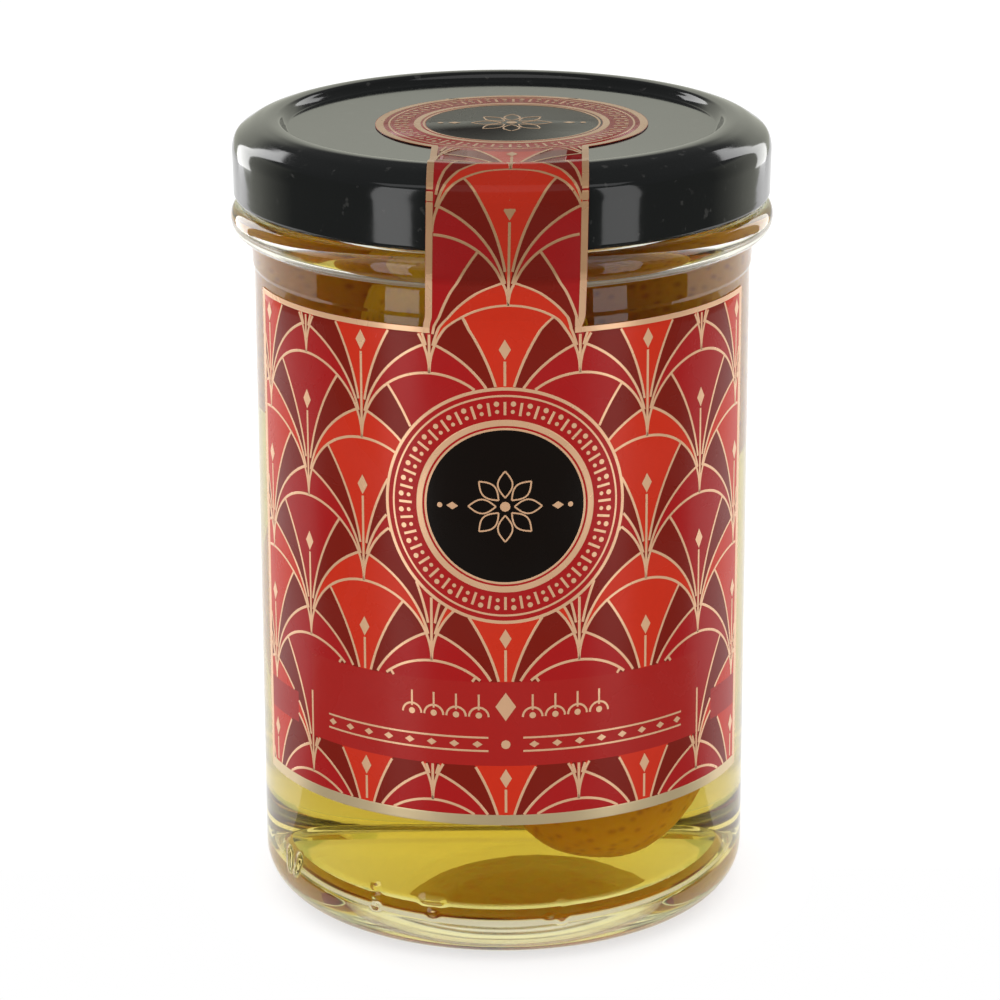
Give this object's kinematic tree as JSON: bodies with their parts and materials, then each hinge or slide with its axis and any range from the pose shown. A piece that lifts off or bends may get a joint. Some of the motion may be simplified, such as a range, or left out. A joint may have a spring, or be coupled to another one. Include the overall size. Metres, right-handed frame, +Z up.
{
  "type": "jar of rum babas",
  "caption": "Closed straight-sided glass jar that holds small rum babas in syrup, with a black twist-off lid and a die-cut sticker that runs from the body up over the lid.",
  "frame": {"origin": "centre of the jar's base, on the surface it stands on", "axes": "+Z up along the jar's axis, towards the lid; the middle of the sticker faces -Y"},
  "size_m": [0.0702, 0.0707, 0.1053],
  "materials": {
    "glass": "gloss",
    "enamel": "gloss",
    "sticker": "satin",
    "sponge": "satin"
  },
  "bodies": {
    "root": {"jar": "glass", "lid": "enamel", "label": "sticker", "babas": "sponge"}
  },
  "joints": []
}
